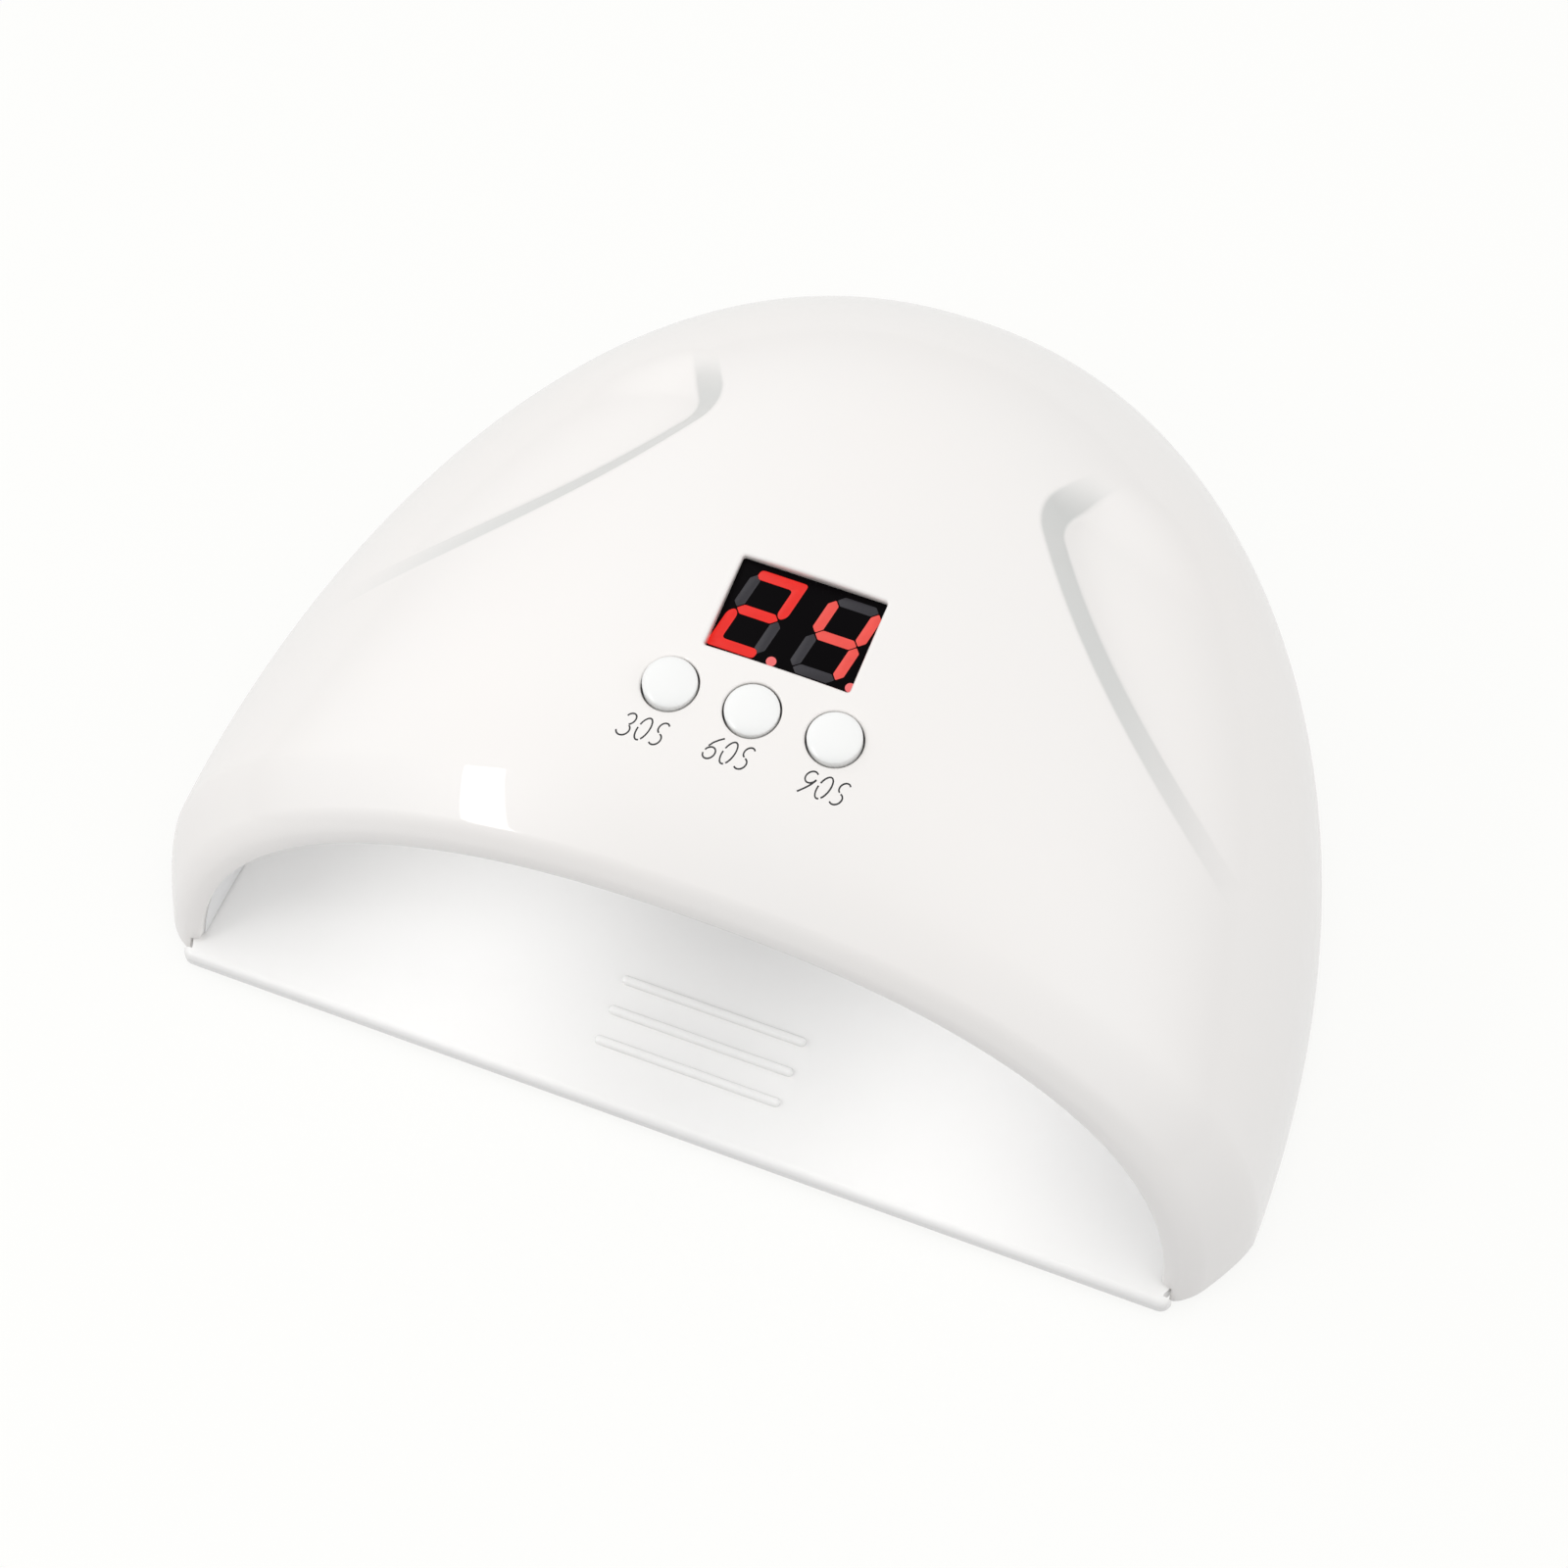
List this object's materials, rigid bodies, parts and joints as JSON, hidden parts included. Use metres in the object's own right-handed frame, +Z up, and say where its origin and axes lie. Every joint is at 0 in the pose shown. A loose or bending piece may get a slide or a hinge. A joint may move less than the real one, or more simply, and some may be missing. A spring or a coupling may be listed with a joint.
{
  "type": "nail lamp",
  "caption": "Gel nail lamp: a domed shell with an arched hand opening, lamp-lined tunnel, timer display, push buttons and lift-off tray.",
  "frame": {"origin": "on the table under the middle of the footprint's box, tray lip included", "axes": "+X to the user's right along the mouth, +Y to the back, +Z up"},
  "size_m": [0.1856, 0.1464, 0.0694],
  "materials": {
    "shell_white": "polished",
    "tunnel_white": "polished",
    "tray_white": "polished",
    "button_white": "polished",
    "foot_grey": "matt",
    "display_black": "satin",
    "segment_lit": "lit",
    "segment_dark": "satin",
    "board_green": "satin",
    "strip_white": "satin",
    "bead_lens": "clear",
    "screw_steel": "brushed",
    "magnet_nickel": "bright",
    "part_black": "matt",
    "capacitor_can": "satin",
    "connector_cream": "satin",
    "wire_red": "satin",
    "wire_black": "satin",
    "contact_brass": "bright",
    "jumper_tin": "bright"
  },
  "bodies": {
    "shell": {"top_shell": "shell_white", "inner_liner": "tunnel_white", "shell_magnets": "magnet_nickel", "liner_screws": "screw_steel", "control_board": "board_green", "board_screws": "screw_steel", "display_housing": "display_black", "display_lit_segments": "segment_lit", "display_dark_segments": "segment_dark", "display_pins": "jumper_tin", "control_chip": "part_black", "filter_capacitor": "capacitor_can", "power_inductor": "part_black", "power_connector": "connector_cream", "lamp_connector": "connector_cream", "power_jack": "part_black", "jack_pin": "contact_brass", "jack_nut": "screw_steel", "jack_tabs": "contact_brass", "jack_leads": "wire_red", "lamp_leads": "wire_black", "strip_jumpers": "jumper_tin", "switch_body_30": "part_black", "switch_body_60": "part_black", "switch_body_90": "part_black", "lamp_strip_front": "strip_white", "lamp_beads_front": "bead_lens", "lamp_strip_middle": "strip_white", "lamp_beads_middle": "bead_lens", "lamp_strip_rear": "strip_white", "lamp_beads_rear": "bead_lens"},
    "tray": {"base_tray": "tray_white", "tray_feet": "foot_grey", "tray_keepers": "screw_steel"},
    "button_30": {"button_30": "button_white", "switch_plunger_30": "connector_cream"},
    "button_60": {"button_60": "button_white", "switch_plunger_60": "connector_cream"},
    "button_90": {"button_90": "button_white", "switch_plunger_90": "connector_cream"}
  },
  "joints": [
    {"name": "button_30_press", "type": "slide", "parent": "shell", "child": "button_30", "axis": [0, 0.1132, -0.9936], "range_m": [0, 0.0005], "stiffness_N_per_m": 500, "springref_m": -0.0004},
    {"name": "button_60_press", "type": "slide", "parent": "shell", "child": "button_60", "axis": [0, 0.1132, -0.9936], "range_m": [0, 0.0005], "stiffness_N_per_m": 500, "springref_m": -0.0004},
    {"name": "button_90_press", "type": "slide", "parent": "shell", "child": "button_90", "axis": [0, 0.1132, -0.9936], "range_m": [0, 0.0005], "stiffness_N_per_m": 500, "springref_m": -0.0004},
    {"name": "tray_lift_off", "type": "slide", "parent": "shell", "child": "tray", "axis": [0, 0, -1], "range_m": [0, 0.03]}
  ]
}
